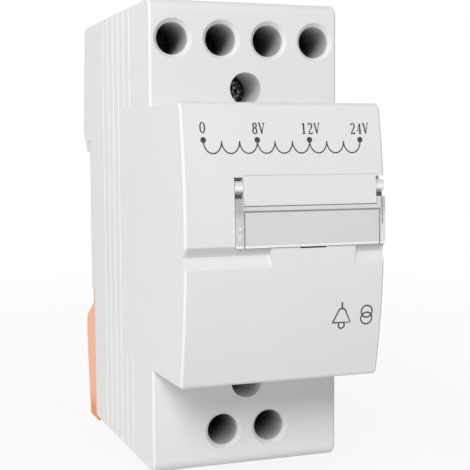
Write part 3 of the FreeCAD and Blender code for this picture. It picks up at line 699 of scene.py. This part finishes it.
def pen_lines(name, strokes):
    """Ink lines on the nose front. A stroke is a list of (x, z, line width) in metres."""
    line = bpy.data.curves.new(name, "CURVE")
    line.dimensions = "3D"
    line.bevel_depth = 0.5
    line.bevel_resolution = 1
    line.use_fill_caps = True
    for stroke in strokes:
        spline = line.splines.new("POLY")
        spline.points.add(len(stroke) - 1)
        for spot, (x, z, width) in zip(spline.points, stroke):
            spot.co = (x, 0, z, 1)
            spot.radius = width
    made = bpy.data.objects.new(name, line)
    bpy.context.scene.collection.objects.link(made)
    bpy.context.view_layer.update()
    mesh = bpy.data.meshes.new_from_object(made.evaluated_get(bpy.context.evaluated_depsgraph_get()))
    bpy.data.objects.remove(made)
    for vertex in mesh.vertices:
        rise = vertex.co.z - nose_centre_z
        surface = nose_centre_y - math.sqrt(nose_radius ** 2 - rise ** 2)
        vertex.co.y = surface - ink_lift + vertex.co.y * ink_flatness
    mesh.materials.append(ink_finish)
    made = bpy.data.objects.new(name, mesh)
    bpy.context.scene.collection.objects.link(made)
    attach(made, "casing")


figures_foot = figures_middle_z - figure_height / 2
strokes = []
for word, middle, drop in (("0", -0.01432, 0), ("8V", -0.00465, figure_drop),
                           ("12V", 0.00470, figure_drop), ("24V", 0.01378, figure_drop)):
    left = middle - (len(word) * figure_step - figure_gap) * figure_height / 2
    for index, letter in enumerate(word):
        for stroke in figures[letter]:
            strokes.append([(left + (x + index * figure_step) * figure_height,
                             figures_foot - drop + z * figure_height, width * figure_height)
                            for x, z, width in stroke])
pen_lines("voltage_figures", strokes)

sign_line = 0.00029
bell_x = 0.0103
bell_stem_top = -0.0101
bell_top = -0.0112
bell_foot = -0.01365
bell_half = 0.00168
dome_width = 0.0008
dome_height = 0.0009
clapper = 0.00056
clapper_drop = 0.85 * clapper
ring_x = 0.0150
ring_size = 0.00104
upper_ring_z = -0.01195
lower_ring_z = -0.01315


def even_line(points):
    """A stroke through points, all of the signs' line width."""
    return [(x, z, sign_line) for x, z, *_ in points]


dome = sweep(bell_x, bell_top - dome_height, dome_width, dome_height, 165, 15)
foot_left = (bell_x - bell_half, bell_foot)
foot_right = (bell_x + bell_half, bell_foot)
pen_lines("bell_picture", [
    even_line([(bell_x, bell_stem_top), (bell_x, bell_top)]),
    even_line([foot_left, *dome, foot_right, foot_left]),
    even_line(sweep(bell_x, bell_foot - clapper_drop, clapper, clapper, 45, -225))])
pen_lines("coil_rings_picture", [
    even_line(sweep(ring_x, ring_z, ring_size, ring_size, 0, 360))
    for ring_z in (upper_ring_z, lower_ring_z)])


# Studio: a pale floor under the pull tab, soft lamps above and in front, and a white room. The
# camera stands a little to the left of the transformer and a little above its middle.
white = (1, 1, 1, 1)
floor_colour = (0.85, 0.85, 0.85, 1)
floor_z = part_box("rail_clip")[0].z
floor_reach = 3.0
shadow_reach = 0.35
shadow_lightness = 0.88
room_light = 0.27

floor_mesh = bpy.data.meshes.new("studio floor")
corners = [(-1, -1), (1, -1), (1, 1), (-1, 1)]
floor_mesh.from_pydata([(x * floor_reach, y * floor_reach, floor_z) for x, y in corners], [], [(0, 1, 2, 3)])
floor = bpy.data.objects.new("studio_floor", floor_mesh)
bpy.context.scene.collection.objects.link(floor)

floor_finish, place = material_start("pale floor")
away = place.node("ShaderNodeVectorMath", {"operation": "LENGTH"}, {0: place}, out="Value")
far = (away / shadow_reach).maths("MINIMUM", 1.0)
paint = place.node("ShaderNodeBsdfDiffuse", None, {"Color": floor_colour})
glow = place.node("ShaderNodeEmission", None, {"Color": white, "Strength": 1.0})
seen = place.node("ShaderNodeLightPath", out="Is Camera Ray")
surface = place.node("ShaderNodeMixShader", None, {
    0: far.spread(shadow_lightness, 1) * seen, 1: paint, 2: glow})
place.node("ShaderNodeOutputMaterial", None, {"Surface": surface})
floor.data.materials.append(floor_finish)

world = bpy.data.worlds.new("white room")
bpy.context.scene.world = world
world.use_nodes = True
world.node_tree.nodes.clear()
room = Form(world.node_tree)
seen = room.node("ShaderNodeLightPath", out="Is Camera Ray")
mirrored = room.node("ShaderNodeLightPath", out="Is Glossy Ray")
through = room.node("ShaderNodeLightPath", out="Is Transmission Ray")
shown = seen.maths("MAXIMUM", mirrored).maths("MAXIMUM", through)
backdrop = room.node("ShaderNodeBackground", None, {
    "Color": white, "Strength": shown.spread(room_light, 1)})
room.node("ShaderNodeOutputWorld", None, {"Surface": backdrop})


def lamp(name, place, target, size, power):
    """Square soft lamp that faces a target."""
    data = bpy.data.lights.new(name, "AREA")
    data.size = size
    data.energy = power
    made = bpy.data.objects.new(name, data)
    made.location = place
    made.rotation_euler = (Vector(target) - Vector(place)).to_track_quat("-Z", "Y").to_euler()
    bpy.context.scene.collection.objects.link(made)


middle = (0, -0.03, 0)
lamp("soft main lamp", place=(-0.40, -0.78, 0.50), target=middle, size=0.36, power=6.0)
lamp("soft left lamp", place=(-0.90, -0.10, 0.25), target=middle, size=0.45, power=2.4)
lamp("soft back lamp", place=(0.45, 0.80, 0.45), target=middle, size=0.45, power=1.2)

camera_place = Vector((-0.0698, -0.2335, 0.0161))
camera_turn = math.radians(20.08)
camera_pitch = math.radians(-4.56)
camera_roll = math.radians(-0.29)

look = Vector((math.sin(camera_turn) * math.cos(camera_pitch),
               math.cos(camera_turn) * math.cos(camera_pitch), math.sin(camera_pitch)))
level = Vector((math.cos(camera_turn), -math.sin(camera_turn), 0))
upright = level.cross(look)
right = level * math.cos(camera_roll) + upright * math.sin(camera_roll)
upwards = upright * math.cos(camera_roll) - level * math.sin(camera_roll)
camera_data = bpy.data.cameras.new("studio camera")
camera_data.lens = 83.03
camera_data.sensor_width = 36.0
camera_data.clip_start = 0.01
camera = bpy.data.objects.new("studio_camera", camera_data)
camera.matrix_world = Matrix.Translation(camera_place) @ Matrix((right, upwards, -look)).transposed().to_4x4()
bpy.context.scene.collection.objects.link(camera)
bpy.context.scene.camera = camera
bpy.context.scene.view_settings.view_transform = "Standard"
